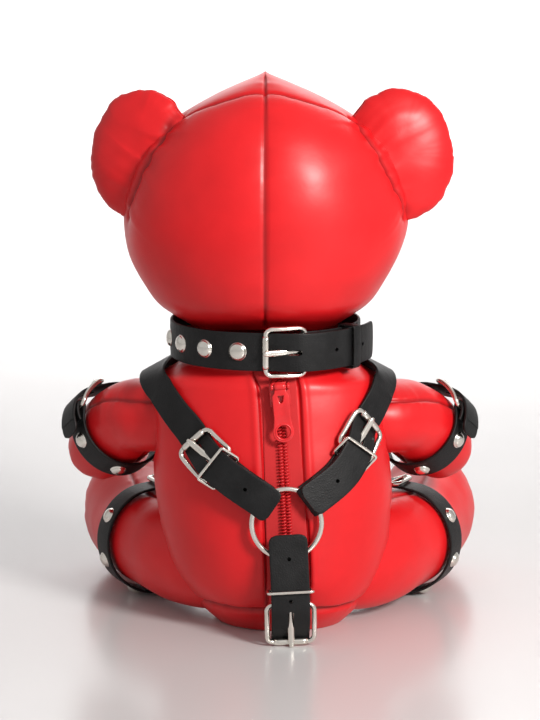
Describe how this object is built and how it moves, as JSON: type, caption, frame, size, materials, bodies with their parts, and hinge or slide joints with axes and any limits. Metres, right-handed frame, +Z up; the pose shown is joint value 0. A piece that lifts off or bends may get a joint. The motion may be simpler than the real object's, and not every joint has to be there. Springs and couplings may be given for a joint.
{
  "type": "seated stuffed bear figurine",
  "caption": "Seated stuffed bear in red faux leather with a back zip, a buckled collar and a black strap harness with rings and roller buckles",
  "frame": {"origin": "centre of the flat seat, on the floor", "axes": "+Z up, +Y the way the bear faces, +X the bear's right"},
  "size_m": [0.2204, 0.1823, 0.2752],
  "materials": {
    "red_leather": "smooth satin red faux leather over wadding",
    "black_leather": "black grained leather",
    "nickel": "polished nickel plate",
    "red_paint": "red enamel on die-cast zinc",
    "zip_tape": "woven red zip tape",
    "zip_teeth": "red nylon coil",
    "stuffing": "white polyester filling",
    "eye_black": "glossy black safety eye"
  },
  "bodies": {
    "trunk": {"trunk_cover": "red_leather", "trunk_stuffing": "stuffing", "zip_tape": "zip_tape", "zip_teeth": "zip_teeth", "collar_strap": "black_leather", "collar_buckle_frame": "nickel", "collar_keeper": "black_leather", "back_ring": "nickel", "chest_ring": "nickel", "chest_strap": "black_leather", "shoulder_left_strap": "black_leather", "shoulder_left_tab": "black_leather", "shoulder_left_buckle_frame": "nickel", "shoulder_left_keeper": "nickel", "shoulder_right_strap": "black_leather", "shoulder_right_tab": "black_leather", "shoulder_right_buckle_frame": "nickel", "shoulder_right_keeper": "nickel", "crotch_strap": "black_leather", "crotch_tab": "black_leather", "crotch_buckle_frame": "nickel", "crotch_keeper": "nickel"},
    "head": {"head_cover": "red_leather", "head_stuffing": "stuffing", "muzzle": "red_leather", "nose": "black_leather", "eye_left": "eye_black", "eye_right": "eye_black", "ear_left": "red_leather", "ear_right": "red_leather"},
    "arm_left": {"arm_left_cover": "red_leather", "arm_left_stuffing": "stuffing", "cuff_left_strap": "black_leather", "cuff_left_buckle_frame": "nickel"},
    "leg_left": {"leg_left_cover": "red_leather", "leg_left_stuffing": "stuffing", "garter_left_strap": "black_leather", "garter_left_buckle_frame": "nickel"},
    "arm_right": {"arm_right_cover": "red_leather", "arm_right_stuffing": "stuffing", "cuff_right_strap": "black_leather", "cuff_right_buckle_frame": "nickel"},
    "leg_right": {"leg_right_cover": "red_leather", "leg_right_stuffing": "stuffing", "garter_right_strap": "black_leather", "garter_right_buckle_frame": "nickel"},
    "zip_slider": {"zip_slider": "red_paint"},
    "zip_pull": {"zip_pull": "red_paint"},
    "shoulder_left_prong": {"shoulder_left_prong": "nickel"},
    "shoulder_right_prong": {"shoulder_right_prong": "nickel"},
    "crotch_prong": {"crotch_prong": "nickel"},
    "collar_prong": {"collar_prong": "nickel"},
    "cuff_left_prong": {"cuff_left_prong": "nickel"},
    "cuff_right_prong": {"cuff_right_prong": "nickel"},
    "garter_left_prong": {"garter_left_prong": "nickel"},
    "garter_right_prong": {"garter_right_prong": "nickel"},
    "shoulder_left_roller": {"shoulder_left_roller": "nickel"},
    "shoulder_right_roller": {"shoulder_right_roller": "nickel"},
    "crotch_roller": {"crotch_roller": "nickel"},
    "collar_roller": {"collar_roller": "nickel"}
  },
  "joints": [
    {"name": "head_turn", "type": "hinge", "parent": "trunk", "child": "head", "pos_m": [-0.00735, 0, 0.148], "axis": [0, 0, 1], "range_deg": [-15, 15], "stiffness_Nm_per_rad": 0.6},
    {"name": "arm_left_swing", "type": "hinge", "parent": "trunk", "child": "arm_left", "pos_m": [-0.063, 0.005, 0.101], "axis": [1, 0, 0], "range_deg": [0, 12], "stiffness_Nm_per_rad": 0.15},
    {"name": "leg_left_splay", "type": "hinge", "parent": "trunk", "child": "leg_left", "pos_m": [-0.0017, 0, 0.034], "axis": [0, 0, 1], "range_deg": [0, 4], "stiffness_Nm_per_rad": 0.5},
    {"name": "arm_right_swing", "type": "hinge", "parent": "trunk", "child": "arm_right", "pos_m": [0.053, 0.005, 0.101], "axis": [1, 0, 0], "range_deg": [0, 12], "stiffness_Nm_per_rad": 0.15},
    {"name": "leg_right_splay", "type": "hinge", "parent": "trunk", "child": "leg_right", "pos_m": [-0.0017, 0, 0.034], "axis": [0, 0, -1], "range_deg": [0, 4], "stiffness_Nm_per_rad": 0.5},
    {"name": "zip_slide", "type": "slide", "parent": "trunk", "child": "zip_slider", "axis": [0.0628, -0.158, -0.9854], "range_m": [0, 0.015]},
    {"name": "zip_pull_swing", "type": "hinge", "parent": "zip_slider", "child": "zip_pull", "pos_m": [-0.00039, -0.04998, 0.12518], "axis": [-0.9935, -0.0807, -0.08], "range_deg": [0, 110]},
    {"name": "shoulder_left_prong_lift", "type": "hinge", "parent": "trunk", "child": "shoulder_left_prong", "pos_m": [-0.0297, -0.04951, 0.08634], "axis": [0.6093, -0.1152, 0.7845], "range_deg": [0, 18]},
    {"name": "shoulder_right_prong_lift", "type": "hinge", "parent": "trunk", "child": "shoulder_right_prong", "pos_m": [0.03511, -0.04135, 0.09176], "axis": [0.7243, 0.3799, -0.5754], "range_deg": [0, 18]},
    {"name": "crotch_prong_lift", "type": "hinge", "parent": "trunk", "child": "crotch_prong", "pos_m": [0.00471, -0.05859, 0.02102], "axis": [-0.9965, -0.078, -0.0296], "range_deg": [0, 18]},
    {"name": "collar_prong_lift", "type": "hinge", "parent": "trunk", "child": "collar_prong", "pos_m": [0.01164, -0.04469, 0.14145], "axis": [0, -0.0436, 0.999], "range_deg": [0, 18]},
    {"name": "cuff_left_prong_lift", "type": "hinge", "parent": "arm_left", "child": "cuff_left_prong", "pos_m": [-0.1047, 0.02298, 0.10156], "axis": [0.4904, -0.7005, 0.5184], "range_deg": [0, 18]},
    {"name": "cuff_right_prong_lift", "type": "hinge", "parent": "arm_right", "child": "cuff_right_prong", "pos_m": [0.0947, 0.02298, 0.10156], "axis": [0.4904, 0.7005, -0.5184], "range_deg": [0, 18]},
    {"name": "garter_left_prong_lift", "type": "hinge", "parent": "leg_left", "child": "garter_left_prong", "pos_m": [-0.04956, 0.05309, 0.0529], "axis": [-0.4359, 0.8999, 0.0141], "range_deg": [0, 18]},
    {"name": "garter_right_prong_lift", "type": "hinge", "parent": "leg_right", "child": "garter_right_prong", "pos_m": [0.04956, 0.05309, 0.0529], "axis": [-0.4359, -0.8999, -0.0141], "range_deg": [0, 18]},
    {"name": "shoulder_left_roller_spin", "type": "hinge", "parent": "trunk", "child": "shoulder_left_roller", "pos_m": [-0.04194, -0.04286, 0.09815], "axis": [0.6799, -0.3175, 0.6609], "continuous": true},
    {"name": "shoulder_right_roller_spin", "type": "hinge", "parent": "trunk", "child": "shoulder_right_roller", "pos_m": [0.04358, -0.03364, 0.10569], "axis": [0.5562, 0.4253, -0.7139], "continuous": true},
    {"name": "crotch_roller_spin", "type": "hinge", "parent": "trunk", "child": "crotch_roller", "pos_m": [0.00499, -0.05638, 0.00218], "axis": [-0.9968, -0.077, -0.0196], "continuous": true},
    {"name": "collar_roller_spin", "type": "hinge", "parent": "trunk", "child": "collar_roller", "pos_m": [-0.00703, -0.04911, 0.14126], "axis": [0, -0.0436, 0.999], "continuous": true}
  ]
}
